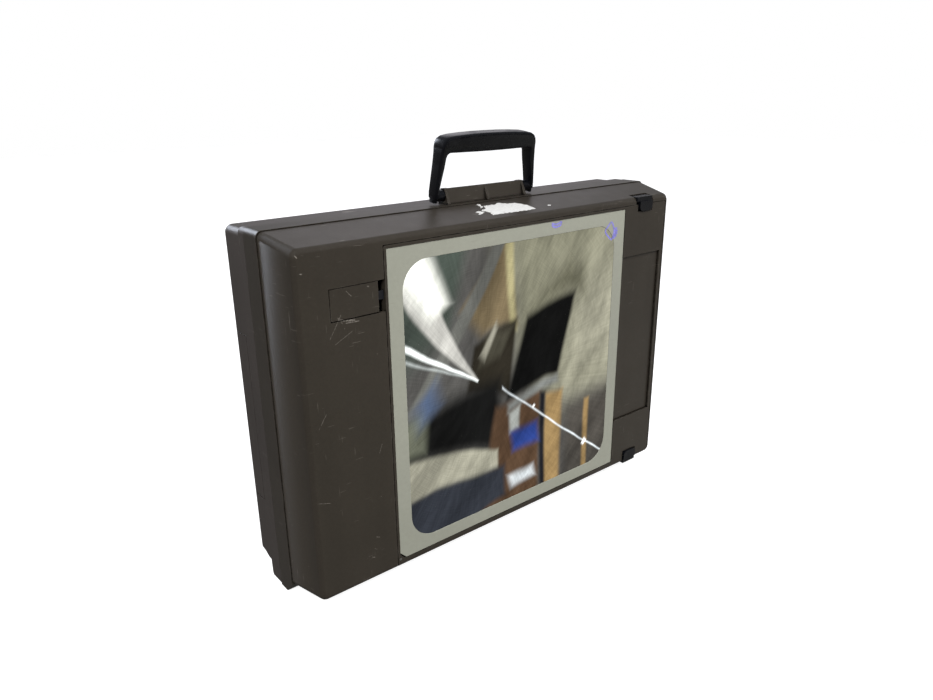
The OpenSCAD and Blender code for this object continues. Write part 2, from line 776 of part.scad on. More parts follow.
module lamp_socket() part("#ddd8c8") {
    difference() {
        block(lens_x - 9, lens_x + 9, 57, 71, lamp_z + 12.2, house_z1 - 2.6);
        for (x = [-2.2, 2.2]) rod_z(lens_x + x, 64, lamp_z + 11, lamp_z + 18, 0.7);
    }
}

module lamp_reflector() part("#c8cacc") {
    translate([lens_x, 44, lamp_z]) rotate([-90, 0, 0]) rotate_extrude()
        polygon(concat([for (i = [0:10]) [20 * i / 10, 11 * i * i / 100]],
                       [for (i = [10:-1:0]) [20 * i / 10 + 0.9 * i / 10, 11 * i * i / 100 - 1]]));
}

module condenser_lens() part([0.75, 0.85, 0.88, 0.5]) {
    element(lens_x, lamp_z, 88, 95.4, 22, 5, 0);
}

module heat_filter() part([0.6, 0.8, 0.75, 0.5]) {
    block(lens_x - 21, lens_x + 21, 78, 80, lamp_z - 21, lamp_z + 21);
}

module thermal_cutout() part("#2a3d52") {
    block(house_x1 - 12, house_x1 - 2.6, 46, 60, lamp_z - 8, lamp_z + 8);
}

// ---- fan ----
fan_y = 68;
module fan_motor() part("#505357") {
    rod_z(lens_x, fan_y, house_z0 + 2.6, house_z0 + 11, 9);
    rod_z(lens_x, fan_y, house_z0 + 11, house_z0 + 20, 1.5);
}

module fan_rotor() part(ink) {
    z0 = house_z0 + 12.5;
    difference() {
        union() {
            rod_z(lens_x, fan_y, z0, z0 + 8, 7);
            for (a = [0:60:300]) translate([lens_x, fan_y, z0 + 1]) rotate([0, 0, a])
                rotate([32, 0, 0]) translate([5.5, -4, 0.8]) cube([17.5, 8, 1.4]);
        }
        rod_z(lens_x, fan_y, z0 - 1, z0 + 10, 1.55);
    }
}

// ---- assembly ----
front_shell();
mid_frame();
rear_cover();
cord_well();
cord_door();
cord_door_pin();
foot_pads();
back_feet();
case_screws();
handle_bracket();
handle_pins();
carry_handle();
stage_door();
stage_border();
fresnel_mirror();
mirror_backing();
border_screw();
hinge_clips();
hinge_pins();
door_keeper();
latch_button();
latch_spring();
latch_guide();
chassis_plate();
chassis_screws();
transformer_core();
transformer_coil();
transformer_straps();
terminal_block();
power_inlet();
inlet_blades();
switch_body();
power_switch();
fuse_holder();
arm_base();
arm_pin();
arm_tube();
arm_slide();
head_pin();
head_housing();
head_cover();
head_screws();
lens_barrel();
lens_elements();
focus_knob();
mirror_frame();
mirror_pin();
projection_mirror();
lamp();
lamp_socket();
lamp_reflector();
condenser_lens();
heat_filter();
fan_motor();
fan_rotor();
thermal_cutout();
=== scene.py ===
import json
import math

import bmesh
import bpy
from mathutils import Matrix, Vector

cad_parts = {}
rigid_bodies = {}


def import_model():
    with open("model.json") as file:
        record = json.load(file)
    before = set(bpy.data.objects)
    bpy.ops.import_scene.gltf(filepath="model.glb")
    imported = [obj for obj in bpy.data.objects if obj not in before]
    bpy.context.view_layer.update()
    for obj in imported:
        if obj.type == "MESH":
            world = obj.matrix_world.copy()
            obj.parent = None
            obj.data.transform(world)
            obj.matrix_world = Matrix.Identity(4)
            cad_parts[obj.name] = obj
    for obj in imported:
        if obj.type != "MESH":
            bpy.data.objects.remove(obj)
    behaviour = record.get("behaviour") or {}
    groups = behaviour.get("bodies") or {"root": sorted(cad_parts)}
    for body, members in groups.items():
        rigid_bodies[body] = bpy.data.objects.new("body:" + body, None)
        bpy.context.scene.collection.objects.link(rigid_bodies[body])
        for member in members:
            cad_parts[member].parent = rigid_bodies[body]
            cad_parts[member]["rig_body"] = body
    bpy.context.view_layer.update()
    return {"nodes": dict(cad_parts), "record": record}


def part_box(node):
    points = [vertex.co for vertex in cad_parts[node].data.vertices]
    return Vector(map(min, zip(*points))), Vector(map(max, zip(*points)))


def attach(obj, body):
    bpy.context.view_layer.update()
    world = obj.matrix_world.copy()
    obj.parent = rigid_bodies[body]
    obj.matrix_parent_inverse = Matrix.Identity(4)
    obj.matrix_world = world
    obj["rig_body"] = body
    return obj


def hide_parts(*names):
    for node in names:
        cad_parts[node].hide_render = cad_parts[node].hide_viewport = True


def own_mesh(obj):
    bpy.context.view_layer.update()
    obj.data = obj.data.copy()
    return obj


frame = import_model()

MM = 0.001
NODES = frame["nodes"]
SLOT_OF = {row["node"]: row["material_slot"] for row in frame["record"]["subparts"]}


# ---- camera, light and floor ----
EYE = Vector((-0.49486, -0.58934, 0.46556))


def make_camera():
    """The photograph's view: a wide lens, close to the left front corner of the case."""
    turn = [(90, "X"), (-19.4162, "X"), (0.63984, "Y"), (-39.2206, "Z")]
    rotation = Matrix.Identity(3)
    for degrees, axis in turn:
        rotation = Matrix.Rotation(math.radians(degrees), 3, axis) @ rotation
    data = bpy.data.cameras.new("camera")
    data.sensor_width = 36
    data.lens = 28.69
    camera = bpy.data.objects.new("camera", data)
    camera.matrix_world = Matrix.Translation(EYE) @ rotation.to_4x4()
    bpy.context.scene.collection.objects.link(camera)
    bpy.context.scene.camera = camera


class Graph:
    """Adds shader nodes to a tree, one short call a node."""

    def __init__(self, tree):
        self.tree = tree

    def node(self, kind, inputs=None, **settings):
        made = self.tree.nodes.new("ShaderNode" + kind)
        for name, value in settings.items():
            setattr(made, name, value)
        for name, value in (inputs or {}).items():
            self.put(made.inputs[name], value)
        return made

    def put(self, socket, value):
        if isinstance(value, bpy.types.NodeSocket):
            self.tree.links.new(value, socket)
        else:
            socket.default_value = value

    def math(self, operation, a, b=0.0, c=0.0):
        return self.node("Math", {0: a, 1: b, 2: c}, operation=operation).outputs[0]

    def vector(self, operation, a, b=(0, 0, 0), output=0):
        return self.node("VectorMath", {0: a, 1: b}, operation=operation).outputs[output]

    def step(self, value, low, high, out_low=0.0, out_high=1.0):
        """A smooth step of value from low to high."""
        inputs = {"Value": value, "From Min": low, "From Max": high, "To Min": out_low, "To Max": out_high}
        return self.node("MapRange", inputs, interpolation_type="SMOOTHSTEP").outputs[0]

    def noise(self, where, scale, detail=2.0, roughness=0.5, distortion=0.0):
        inputs = {"Vector": where, "Scale": scale, "Detail": detail, "Roughness": roughness,
                  "Distortion": distortion}
        return self.node("TexNoise", inputs).outputs[0]

    def stretched(self, where, factors, turn=(0, 0, 0)):
        inputs = {"Vector": where, "Scale": factors, "Rotation": turn}
        return self.node("Mapping", inputs).outputs[0]

    def mix(self, factor, a, b, blend="MIX"):
        made = self.node("Mix", data_type="RGBA", blend_type=blend)
        for index, value in ((0, factor), (6, a), (7, b)):
            self.put(made.inputs[index], value)
        return made.outputs[2]


def rgb(red, green, blue):
    return (red, green, blue, 1.0)


# ---- the soft studio ----
RING_X, RING_Z = -0.044, 0.181
FOCAL = 0.36


def seen_from(x, z):
    """The direction that the ringed mirror shows the camera at one place of the stage."""
    face_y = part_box("fresnel_mirror")[0].y
    point = Vector((x, face_y, z))
    ray = (point - EYE).normalized()
    normal = Vector(((RING_X - x) / (2 * FOCAL), -1, (RING_Z - z) / (2 * FOCAL))).normalized()
    return (ray - 2 * ray.dot(normal) * normal).normalized()


def card(g, light, place, corners, colour, soft):
    """A soft-edged flat card of light, bounded by straight edges between its corners.
    place is the point of the card's plane as (across, up, 1)."""
    outside = None
    for (u0, v0), (u1, v1) in zip(corners, corners[1:] + corners[:1]):
        length = math.hypot(u1 - u0, v1 - v0)
        a, b = (v1 - v0) / length, (u0 - u1) / length
        away = g.vector("DOT_PRODUCT", place, (a, b, -a * u0 - b * v0), output=1)
        outside = away if outside is None else g.math("MAXIMUM", outside, away)
    return g.mix(g.step(outside, soft, -soft), light, colour)


# cards reflected in the stage mirror, by their corners as shares of the stage's width and height
CARDS = [
    ("haze", [(-0.8, -0.6), (-0.25, -0.6), (-0.25, 1.5), (-0.8, 1.5)], (1.5, 1.5, 1.45), 0.1),
    ("field", [(0.40, -0.2), (1.4, -0.2), (1.4, 0.66), (0.66, 0.66), (0.47, 0.32)], (0.33, 0.32, 0.235), 0.03),
    ("pale", [(0.74, 0.22), (1.3, 0.1), (1.3, 0.62), (0.72, 0.60)], (0.52, 0.50, 0.39), 0.06),
    ("tan", [(0.26, 0.22), (0.44, 0.0), (0.49, 0.32), (0.34, 0.33)], (0.25, 0.19, 0.11), 0.006),
    ("strip", [(0.425, -0.1), (0.465, -0.1), (0.487, 0.34), (0.465, 0.34)], (0.55, 0.49, 0.27), 0.004),
    ("grey", [(-0.1, 0.66), (0.42, -0.02), (0.47, -0.02), (0.02, 0.62)], (0.20, 0.20, 0.185), 0.004),
    ("green", [(-0.2, -0.2), (0.33, -0.2), (0.2, 0.3), (-0.2, 0.5)], (0.085, 0.105, 0.09), 0.015),
    ("brown", [(0.31, 0.36), (0.49, 0.30), (0.46, 0.56), (0.28, 0.52)], (0.035, 0.03, 0.022), 0.004),
    ("shade", [(0.60, 0.25), (0.73, 0.13), (0.80, 0.16), (0.80, 0.25)], (0.15, 0.145, 0.10), 0.02),
    ("slab", [(0.535, 0.30), (0.76, 0.243), (0.685, 0.545), (0.445, 0.585)], (0.009, 0.009, 0.009), 0.006),
    ("night", [(0.02, 0.56), (0.42, 0.50), (0.43, 0.76), (-0.1, 0.68)], (0.012, 0.012, 0.012), 0.01),
    ("wood", [(0.40, 0.60), (0.61, 0.59), (0.61, 1.2), (0.3, 1.2)], (0.13, 0.075, 0.045), 0.006),
    ("pine", [(0.63, 0.61), (0.715, 0.61), (0.715, 1.2), (0.63, 1.2)], (0.44, 0.29, 0.13), 0.005),
    ("wedge", [(-0.1, 0.67), (0.41, 0.75), (0.41, 0.825), (-0.1, 0.84)], (0.52, 0.50, 0.40), 0.003),
    ("low", [(-0.1, 0.84), (0.44, 0.82), (0.44, 0.93), (-0.1, 1.1)], (0.045, 0.05, 0.065), 0.005),
    ("frame", [(0.455, 0.60), (0.685, 0.545), (0.69, 0.575), (0.455, 0.63)], (0.30, 0.31, 0.30), 0.005),
    ("panel", [(0.46, 0.635), (0.51, 0.62), (0.505, 0.70), (0.465, 0.71)], (0.50, 0.52, 0.50), 0.004),
    ("cupboard", [(0.36, 0.345), (0.47, 0.33), (0.42, 0.42), (0.33, 0.44)], (0.085, 0.078, 0.058), 0.006),
    ("roll", [(0.335, 0.40), (0.40, 0.31), (0.405, 0.33), (0.355, 0.42)], (0.42, 0.40, 0.33), 0.004),
    ("post_dark", [(0.605, 0.60), (0.63, 0.60), (0.635, 1.0), (0.61, 1.0)], (0.02, 0.02, 0.025), 0.004),
    ("crate", [(-0.05, 0.60), (0.13, 0.50), (0.11, 0.66), (-0.05, 0.66)], (0.19, 0.20, 0.15), 0.006),
    ("bin", [(0.08, 0.50), (0.15, 0.44), (0.17, 0.52), (0.10, 0.57)], (0.10, 0.14, 0.24), 0.01),
    ("blue", [(0.47, 0.71), (0.59, 0.70), (0.6, 0.775), (0.48, 0.78)], (0.04, 0.08, 0.36), 0.006),
    ("white", [(0.46, 0.87), (0.57, 0.86), (0.58, 0.9), (0.47, 0.91)], (0.9, 0.95, 1.0), 0.006),
    ("rack", [(0.73, 0.68), (1.1, 0.66), (1.1, 1.1), (0.73, 1.1)], (0.10, 0.09, 0.08), 0.02),
    ("post", [(0.83, 0.68), (0.855, 0.68), (0.855, 1.1), (0.83, 1.1)], (0.44, 0.29, 0.13), 0.004),
    ("glow", [(0.326, 0.484), (0.093, -0.103), (-0.042, -0.028), (0.323, 0.486)], (0.78, 0.76, 0.72), 0.0015),
    ("lamp", [(0.205, 0.19), (0.093, -0.103), (-0.042, -0.028), (0.15, 0.23)], (1.7, 1.7, 1.6), 0.006),
    ("beam", [(0.326, 0.484), (-0.107, 0.168), (-0.122, 0.194), (0.324, 0.487)], (2.4, 2.5, 2.5), 0.0012),
    ("beam_low", [(0.325, 0.486), (-0.155, 0.252), (-0.16, 0.264), (0.324, 0.488)], (0.75, 0.8, 0.8), 0.0012),
    ("tail", [(0.43, 0.533), (0.97, 0.943), (0.97, 0.949), (0.43, 0.536)], (1.5, 1.6, 1.7), 0.0015),
    ("star", [(0.835, 0.842), (0.843, 0.852), (0.835, 0.860), (0.827, 0.852)], (4.0, 4.2, 4.5), 0.004),
    ("spot", [(0.575, 0.638), (0.579, 0.642), (0.575, 0.646), (0.571, 0.642)], (3.0, 3.0, 3.0), 0.002),
]


def make_world():
    """A white backdrop for the eye, and for light and reflections a soft studio:
    a pale sky, three cool windows behind the case and to its left, and cards in front of the stage."""
    world = bpy.data.worlds.new("studio")
    bpy.context.scene.world = world
    world.use_nodes = True
    g = Graph(world.node_tree)
    g.tree.nodes.clear()
    way = g.node("TexCoord").outputs["Generated"]
    split = g.node("SeparateXYZ", {0: way})
    light = g.mix(g.step(split.outputs[2], -0.15, 0.7), rgb(0.13, 0.125, 0.12), rgb(0.26, 0.27, 0.29))

    # windows, as soft round patches: direction, cosine where it starts and where it is full, colour
    windows = [
        ((0.56, 0.69, 0.45), 0.94, 0.985, (0.9, 0.88, 0.94)),
        ((-0.19, 0.90, 0.40), 0.965, 0.980, (7.0, 7.5, 8.5)),
        ((-0.80, 0.45, 0.42), 0.93, 0.98, (0.42, 0.42, 0.45)),
    ]
    for direction, start, full, colour in windows:
        cosine = g.vector("DOT_PRODUCT", way, Vector(direction).normalized(), output=1)
        light = g.mix(g.step(cosine, start, full), light, rgb(*colour))

    # the cards lie on a plane across the direction that the middle of the stage shows
    low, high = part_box("stage_border")
    size_x, size_z = high.x - low.x, high.z - low.z

    def direction_of(across, down):
        return seen_from(low.x + across * size_x, high.z - down * size_z)

    ahead = direction_of(0.5, 0.5)
    side = ahead.cross(Vector((0, 0, 1))).normalized()
    rise = side.cross(ahead)
    depth = g.vector("DOT_PRODUCT", way, ahead, output=1)
    facing = g.step(depth, 0.2, 0.3)
    depth = g.math("MAXIMUM", depth, 0.2)
    wobble = g.noise(way, 8.0, 2.0)
    shift = g.math("MULTIPLY", g.math("SUBTRACT", wobble, 0.5), 0.02)
    u = g.math("ADD", g.math("DIVIDE", g.vector("DOT_PRODUCT", way, side, output=1), depth), shift)
    v = g.math("ADD", g.math("DIVIDE", g.vector("DOT_PRODUCT", way, rise, output=1), depth), shift)

    def on_plane(across, down):
        d = direction_of(across, down)
        return d.dot(side) / d.dot(ahead), d.dot(rise) / d.dot(ahead)

    place = g.node("CombineXYZ", {0: u, 1: v, 2: 1.0}).outputs[0]
    cards = light
    for _name, corners, colour, soft in CARDS:
        places = [on_plane(*corner) for corner in corners]
        turned = sum(u0 * v1 - u1 * v0 for (u0, v0), (u1, v1) in zip(places, places[1:] + places[:1]))
        cards = card(g, cards, place, places if turned > 0 else places[::-1], rgb(*colour), soft)
    clouds = g.step(g.noise(way, 16.0, 4.0, 0.65), 0.25, 0.75, 0.6, 1.3)
    light = g.mix(facing, light, g.mix(1.0, cards, clouds, "MULTIPLY"))

    seen = g.node("LightPath").outputs["Is Camera Ray"]
    background = g.node("Background", {"Color": g.mix(seen, light, rgb(1, 1, 1)), "Strength": 1.0})
    output = g.node("OutputWorld")
    g.put(output.inputs["Surface"], background.outputs[0])


def area_light(name, place, target, size, power, colour):
    data = bpy.data.lights.new(name, "AREA")
    data.shape = "RECTANGLE"
    data.size, data.size_y = size
    data.energy = power
    data.color = colour
    lamp = bpy.data.objects.new(name, data)
    lamp.location = place
    lamp.rotation_euler = (Vector(target) - Vector(place)).to_track_quat("-Z", "Y").to_euler()
    lamp.visible_camera = False
    lamp.visible_glossy = False
    bpy.context.scene.collection.objects.link(lamp)


def make_lights():
    area_light("key_light", (-1.5, -1.9, 2.2), (0, 0, 0.2), (1.6, 1.6), 108, (1.0, 0.98, 0.95))
    area_light("fill_light", (1.9, -1.3, 1.2), (0, 0, 0.2), (1.4, 1.4), 34, (1.0, 0.98, 0.96))
    area_light("back_light", (0.6, 2.2, 1.6), (0, 0, 0.2), (1.6, 1.2), 20, (0.97, 0.98, 1.0))


def make_floor():
    """A plain pale floor that fades into the white backdrop."""
    half = 6.0
    mesh = bpy.data.meshes.new("floor")
    mesh.from_pydata([(-half, -half, 0), (half, -half, 0), (half, half, 0), (-half, half, 0)], [], [(0, 1, 2, 3)])
    floor = bpy.data.objects.new("floor", mesh)
    bpy.context.scene.collection.objects.link(floor)
    material = bpy.data.materials.new("floor_white")
    material.use_nodes = True
    shader = material.node_tree.nodes["Principled BSDF"]
    shader.inputs["Base Color"].default_value = rgb(0.45, 0.45, 0.45)
    shader.inputs["Roughness"].default_value = 0.9
    shader.inputs["Emission Color"].default_value = rgb(1, 1, 1)
    shader.inputs["Emission Strength"].default_value = 0.85
    mesh.materials.append(material)
    floor.visible_glossy = False
    floor.visible_shadow = False
    floor.visible_diffuse = False


# ---- materials ----
class Paint(Graph):
    """A material in the making. Its patterns are fixed to the piece, in metres."""

    def __init__(self, name, colour, roughness, metallic=0.0):
        self.material = bpy.data.materials.new(name)
        self.material.use_nodes = True
        super().__init__(self.material.node_tree)
        self.shader = self.tree.nodes["Principled BSDF"]
        self.where = self.node("TexCoord").outputs["Object"]
        self.colour = rgb(*colour)
        self.roughness = roughness
        self.height = 0.0
        self.set("Metallic", metallic)

    def set(self, name, value):
        self.put(self.shader.inputs[name], value)

    def shade(self, amount, factor):
        """Multiplies the colour by 1 - amount to 1 + amount as factor goes from 0 to 1."""
        grey = self.step(factor, 0.25, 0.75, 1 - amount, 1 + amount)
        self.colour = self.mix(1.0, self.colour, grey, "MULTIPLY")

    def cover(self, mask, colour):
        self.colour = self.mix(mask, self.colour, rgb(*colour))

    def roughen(self, factor, amount):
        self.roughness = self.math("ADD", self.roughness, self.math("MULTIPLY", factor, amount))

    def raise_by(self, factor, amount):
        self.height = self.math("ADD", self.height, self.math("MULTIPLY", factor, amount))

    def edges(self, radius, low=0.02, high=0.12):
        """1 along sharp edges and 0 on flat faces."""
        rounded = self.node("Bevel", {"Radius": radius}, samples=2).outputs[0]
        flat = self.node("NewGeometry").outputs["Normal"]
        away = self.math("SUBTRACT", 1.0, self.vector("DOT_PRODUCT", rounded, flat, output=1))
        return self.step(away, low, high)

    def openness(self, distance):
        """1 on open faces and 0 deep in seams and corners."""
        return self.node("AmbientOcclusion", {"Distance": distance}, samples=2).outputs["AO"]

    def scratches(self, stretch, turn, low, high):
        """Thin straight marks, as 0 to 1."""
        streaks = self.noise(self.stretched(self.where, stretch, turn), 1.0, 1.0, 0.4)
        broken = self.step(self.noise(self.where, 22.0, 1.0), 0.48, 0.62)
        return self.math("MULTIPLY", self.step(streaks, low, high), broken)

    def specks(self, scale, size):
        """Small dots spread unevenly, as 0 to 1."""
        cells = self.node("TexVoronoi", {"Vector": self.where, "Scale": scale})
        near = self.step(cells.outputs["Distance"], size, size * 0.4)
        few = self.step(self.noise(self.where, scale * 0.11, 0.0), 0.60, 0.66)
        return self.math("MULTIPLY", near, few)

    def done(self):
        self.set("Base Color", self.colour)
        self.set("Roughness", self.roughness)
        if isinstance(self.height, bpy.types.NodeSocket):
            bump = self.node("Bump", {"Height": self.height, "Distance": 1.0, "Strength": 1.0})
            self.set("Normal", bump.outputs[0])
        return self.material


# marks on the front of the case in millimetres: the two ends in X and Z, and the width
FRONT_MARKS = [
    (-201, 282.5, -187, 280, 1.6), (-196, 279, -183, 278.6, 0.8), (-203, 285, -199, 279, 0.5),
    (-193.6, 306.5, -189, 301.6, 0.7), (-172.6, 307.4, -171.4, 306.6, 1.0),
    (-234.4, 327.6, -232.2, 327.2, 0.8), (-237.0, 342.6, -235.6, 340.6, 0.7), (-244.2, 309.6, -243.4, 308.2, 0.9),
    (-244.6, 55.6, -242.8, 52.8, 1.3), (-178.6, 61.6, -175.0, 60.0, 0.6), (-181.2, 49.6, -178.8, 48.0, 0.6),
    (-184.2, 41.4, -181.6, 40.2, 0.6), (-212, 268, -200, 287, 0.35), (-208, 262, -190, 271, 0.3),
    (-229, 190, -221, 202, 0.3), (-236, 120, -224, 116, 0.35), (-170, 148, -166, 158, 0.35),
]


def front_mark(p, x0, z0, x1, z1, width):
    """1 along a short straight mark on the front of the case, and 0 away from it."""
    start, end = Vector((x0, 0, z0)) * MM, Vector((x1, 0, z1)) * MM
    along = (end - start).normalized()
    half = (end - start).length / 2
    away = p.vector("SUBTRACT", p.where, (start + end) / 2)
    ahead = p.math("ABSOLUTE", p.vector("DOT_PRODUCT", away, along, output=1))
    aside = p.math("ABSOLUTE", p.vector("DOT_PRODUCT", away, Vector((along.z, 0, -along.x)), output=1))
    width = width * MM
    return p.math("MULTIPLY", p.step(ahead, half + width, half - width), p.step(aside, width * 0.7, width * 0.3))


def front_marks(p):
    front = p.node("SeparateXYZ", {0: p.where}).outputs[1]
    total = 0.0
    for mark in FRONT_MARKS:
        total = p.math("MAXIMUM", total, front_mark(p, *mark))
    broken = p.step(p.noise(p.where, 900.0, 3.0), 0.36, 0.56)
    near_front = p.step(front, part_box("front_shell")[0].y + 0.004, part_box("front_shell")[0].y + 0.003)
    return p.math("MULTIPLY", p.math("MULTIPLY", total, broken), near_front)


def moulded(name, colour, roughness, worn, grain=0.000018, wear=0.35, marked=False):
    """Moulded plastic: spark-textured grain, mottling, rubbed edges, scratches and specks, and painted shade in its
    seams and inside corners.
    """
    p = Paint(name, colour, roughness)
    p.shade(0.07, p.noise(p.where, 11.0, 3.0))
    p.shade(0.05, p.noise(p.where, 420.0, 2.0))
    p.shade(0.05, p.noise(p.stretched(p.where, (40, 40, 4)), 1.0, 2.0))
    grains = p.noise(p.where, 1500.0, 2.0, 0.6)
    p.raise_by(grains, grain)
    p.roughen(p.noise(p.where, 60.0, 3.0), 0.10)
    exposed = p.openness(0.0022)
    edge = p.math("MULTIPLY", p.edges(0.0009), p.step(p.noise(p.where, 130.0, 3.0), 0.42, 0.68))
    edge = p.math("MULTIPLY", edge, p.step(exposed, 0.85, 0.97))
    p.cover(p.math("MULTIPLY", edge, wear), worn)
    for stretch, turn, low in (((60, 60, 1600), (0.1, 0.5, 0), 0.735), ((1500, 1500, 45), (0, 0.3, 0.2), 0.745)):
        mark = p.scratches(stretch, turn, low, low + 0.05)
        p.cover(p.math("MULTIPLY", mark, 0.45), worn)
    p.cover(p.math("MULTIPLY", p.specks(95.0, 0.045), 0.6), worn)
    p.roughen(edge, -0.08)
    if marked:
        p.cover(p.math("MULTIPLY", front_marks(p), 0.8), worn)
    # painted shade: the colour goes near black, rougher and less shiny, deep in seams, gaps and inside corners, where
    # the surface is hemmed in
    seam_shade = p.step(exposed, 0.88, 0.45)
    p.cover(seam_shade, (0.003, 0.0027, 0.0024))
    p.roughen(seam_shade, 0.4)
    p.set("Specular IOR Level", p.math("SUBTRACT", 0.5, p.math("MULTIPLY", seam_shade, 0.45)))
    return p.done()


def smooth_black(name, colour, roughness):
    """Smooth dark plastic, with fine hairlines and greasy patches."""
    p = Paint(name, colour, roughness)
    p.shade(0.12, p.noise(p.where, 26.0, 3.0))
    patches = p.noise(p.where, 55.0, 4.0, 0.6)
    p.roughen(p.step(patches, 0.35, 0.7), 0.16)
    p.raise_by(p.noise(p.where, 900.0, 2.0), 0.000006)
    p.set("Specular IOR Level", 0.36)
    hair = p.scratches((90, 90, 2600), (0.4, 0.7, 0.2), 0.70, 0.76)
    p.cover(p.math("MULTIPLY", hair, 0.25), (0.10, 0.10, 0.11))
    edge = p.math("MULTIPLY", p.edges(0.0006), p.step(patches, 0.4, 0.7))
    p.cover(p.math("MULTIPLY", edge, 0.22), (0.09, 0.09, 0.10))
    return p.done()


def rubber(name, colour):
    p = Paint(name, colour, 0.82)
    p.shade(0.18, p.noise(p.where, 120.0, 3.0))
    p.cover(p.math("MULTIPLY", p.step(p.noise(p.where, 240.0, 4.0), 0.55, 0.8), 0.35), (0.09, 0.085, 0.08))
    p.raise_by(p.noise(p.where, 1300.0, 2.0), 0.00004)
    return p.done()


def stage_paint(name, colour):
    """The grey-green printed border of the stage, a little dusty and chipped at its edges."""
    p = Paint(name, colour, 0.26)
    p.shade(0.05, p.noise(p.where, 7.0, 3.0))
    p.shade(0.025, p.noise(p.where, 300.0, 2.0))
    p.cover(p.math("MULTIPLY", p.scratches((70, 70, 1500), (0.2, 0.9, 0), 0.70, 0.76), 0.35), (0.16, 0.15, 0.13))
    p.cover(p.math("MULTIPLY", p.specks(70.0, 0.04), 0.5), (0.10, 0.09, 0.08))
    edge = p.math("MULTIPLY", p.edges(0.0006), p.step(p.noise(p.where, 160.0, 3.0), 0.5, 0.7))
    p.cover(p.math("MULTIPLY", edge, 0.4), (0.66, 0.66, 0.60))
    p.roughen(p.noise(p.where, 90.0, 3.0), 0.12)
    p.raise_by(p.noise(p.where, 800.0, 2.0), 0.000008)
    return p.done()


def metal(name, colour, roughness, stretch=(30, 30, 30), brushed=0.25, stain=(0.25, 0.21, 0.17)):
    """Plated, cast or brushed metal, with brushing along the longest factor and light staining."""
    p = Paint(name, colour, roughness, 1.0)
    lines = p.noise(p.stretched(p.where, stretch), 1.0, 4.0, 0.65)
    p.shade(0.10, lines)
    p.roughen(lines, brushed)
    p.raise_by(lines, 0.00001)
    p.cover(p.math("MULTIPLY", p.step(p.noise(p.where, 75.0, 4.0, 0.65), 0.58, 0.78), 0.35), stain)
    p.raise_by(p.noise(p.where, 1100.0, 1.0), 0.000004)
    return p.done()


def coated(name, colour, roughness, chip=(0.35, 0.35, 0.36)):
    """Powder-coated or painted metal, with orange peel and chips at its edges."""
    p = Paint(name, colour, roughness)
    p.shade(0.10, p.noise(p.where, 40.0, 3.0))
    p.raise_by(p.noise(p.where, 700.0, 2.0), 0.00003)
    edge = p.math("MULTIPLY", p.edges(0.0006), p.step(p.noise(p.where, 220.0, 3.0), 0.55, 0.66))
    p.cover(p.math("MULTIPLY", edge, 0.7), chip)
    p.roughen(p.noise(p.where, 80.0, 3.0), 0.15)
    return p.done()


def banded(name, colour, dark, roughness, stretch, pitch, metallic=0.0, deep=0.00008):
    """Stacked sheets or wound wire: bands across one axis, one every pitch metres."""
    p = Paint(name, colour, roughness, metallic)
    inputs = {"Vector": p.stretched(p.where, stretch), "Scale": math.pi / (10 * pitch), "Distortion": 0.15}
    bands = p.node("TexWave", inputs, bands_direction="DIAGONAL").outputs[0]
    p.cover(p.step(bands, 0.45, 0.1), dark)
    p.shade(0.14, p.noise(p.where, 90.0, 4.0))
    p.roughen(p.noise(p.where, 150.0, 3.0), 0.15)
    p.raise_by(bands, deep)
    return p.done()


def glass(name, colour, haze):
    """Clear glass with a thin film of dust."""
    p = Paint(name, colour, 0.02)
    p.set("Transmission Weight", 0.92)
    p.set("IOR", 1.5)
    dust = p.step(p.noise(p.where, 260.0, 4.0, 0.65), 0.5, 0.8)
    p.roughen(dust, haze)
    p.cover(p.math("MULTIPLY", dust, 0.2), (0.75, 0.74, 0.70))
    return p.done()


def front_mirror(name, colour):
    p = Paint(name, colour, 0.02, 1.0)
    dust = p.step(p.noise(p.where, 190.0, 4.0, 0.65), 0.5, 0.85)
    p.roughen(dust, 0.12)
    p.cover(p.math("MULTIPLY", dust, 0.25), (0.45, 0.44, 0.42))
    return p.done()


def ring_mirror(name, colour):
    """The stage mirror: ringed like a record, so that it focuses like a hollow mirror
    and draws what it shows out along the spokes of its rings."""
    p = Paint(name, colour, 0.011, 1.0)
    spoke = p.vector("MULTIPLY", p.vector("SUBTRACT", p.where, (RING_X, 0, RING_Z)), (1, 0, 1))
    radius = p.vector("LENGTH", spoke, output=1)
    axes = p.node("SeparateXYZ", {0: spoke})
    angle = p.math("ARCTAN2", axes.outputs[2], axes.outputs[0])
    polar = p.node("CombineXYZ", {0: radius, 1: angle, 2: 0.0}).outputs[0]
    p.set("Anisotropic", 0.8)
    p.set("Tangent", p.vector("NORMALIZE", spoke))
    p.shade(0.05, p.noise(p.where, 8.0, 3.0))
    p.shade(0.07, p.noise(p.stretched(polar, (1500, 5, 1)), 1.0, 3.0, 0.6))
    p.shade(0.06, p.noise(p.stretched(polar, (14, 46, 1)), 1.0, 2.0))
    dust = p.step(p.noise(p.where, 210.0, 4.0, 0.65), 0.55, 0.85)
    p.cover(p.math("MULTIPLY", dust, 0.12), (0.30, 0.29, 0.26))
    hair = p.scratches((70, 70, 1900), (0.2, 1.1, 0), 0.70, 0.74)
    p.cover(p.math("MULTIPLY", hair, 0.4), (0.55, 0.55, 0.52))
    p.raise_by(p.math("POWER", radius, 2.0), 1 / (4 * FOCAL))
    return p.done()


